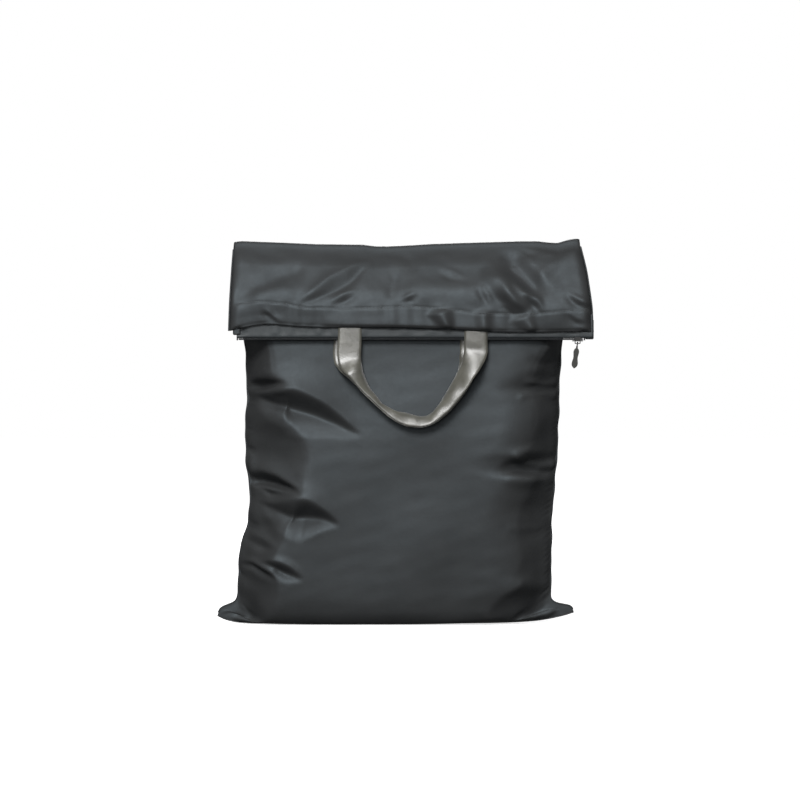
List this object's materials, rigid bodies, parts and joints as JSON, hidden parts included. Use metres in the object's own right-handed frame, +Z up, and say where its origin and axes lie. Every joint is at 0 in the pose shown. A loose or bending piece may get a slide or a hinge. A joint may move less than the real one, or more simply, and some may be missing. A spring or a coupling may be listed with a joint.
{
  "type": "laundry bag",
  "caption": "Zipped nylon laundry bag, standing filled, with its mouth folded over to the front, webbing loop handles and a zip pull at the side.",
  "frame": {"origin": "on the floor, in the middle of the flattened base, under the bottom seam", "axes": "+Z up, the folded mouth and the handles face -Y, +X towards the zip pull's end (the right side seen from the front)"},
  "size_m": [0.3909, 0.1081, 0.4066],
  "materials": {
    "nylon_charcoal": "satin woven nylon",
    "webbing_satin": "satin woven webbing",
    "zip_tape": "woven tape",
    "seam_binding": "woven binding",
    "thread": "sewing thread",
    "zip_coil": "nylon coil",
    "zip_metal": "dark painted zinc",
    "pull_moulding": "moulded soft plastic"
  },
  "bodies": {
    "bag": {"front_panel": "nylon_charcoal", "back_panel": "nylon_charcoal", "left_seam_binding": "seam_binding", "right_seam_binding": "seam_binding", "bottom_seam_binding": "seam_binding"},
    "mouth_flap": {"flap_outer_layer": "nylon_charcoal", "flap_inner_layer": "nylon_charcoal", "outer_hem_facing": "nylon_charcoal", "inner_hem_facing": "nylon_charcoal", "flap_left_seam_binding": "seam_binding", "flap_right_seam_binding": "seam_binding", "zip_tape_outer": "zip_tape", "zip_tape_inner": "zip_tape", "zip_coil_outer": "zip_coil", "zip_coil_inner": "zip_coil", "zip_top_stops": "zip_metal", "zip_bottom_stop": "zip_metal", "zip_end_tab_left": "nylon_charcoal", "zip_end_tab_right": "nylon_charcoal", "outer_handle_ends": "webbing_satin", "inner_handle_ends": "webbing_satin", "outer_handle_bartacks": "thread", "inner_handle_bartacks": "thread"},
    "outer_handle": {"outer_handle_loop": "webbing_satin"},
    "inner_handle": {"inner_handle_loop": "webbing_satin"},
    "zip_slider": {"slider_body": "zip_metal", "slider_bridge": "zip_metal"},
    "zip_pull": {"pull_tab": "zip_metal", "pull_grip": "pull_moulding"}
  },
  "joints": [
    {"name": "flap_unfold", "type": "hinge", "parent": "bag", "child": "mouth_flap", "pos_m": [0, -0.004, 0.4], "axis": [-1, 0, 0], "range_deg": [0, 157]},
    {"name": "outer_handle_swing", "type": "hinge", "parent": "mouth_flap", "child": "outer_handle", "pos_m": [0.0104, -0.0548, 0.30541], "axis": [-1, 0, 0], "range_deg": [0, 150]},
    {"name": "inner_handle_swing", "type": "hinge", "parent": "mouth_flap", "child": "inner_handle", "pos_m": [0.0104, -0.0433, 0.29051], "axis": [-1, 0, 0], "range_deg": [0, 90]},
    {"name": "zip_slide", "type": "slide", "parent": "mouth_flap", "child": "zip_slider", "axis": [-1, 0, 0], "range_m": [0, 0.346]},
    {"name": "pull_swing", "type": "hinge", "parent": "zip_slider", "child": "zip_pull", "pos_m": [0.1817, -0.049, 0.29615], "axis": [0, 1, 0], "range_deg": [-80, 65]}
  ],
  "couplings": [
    {"joint": "inner_handle_swing", "follows": "outer_handle_swing", "ratio": 0.6}
  ]
}
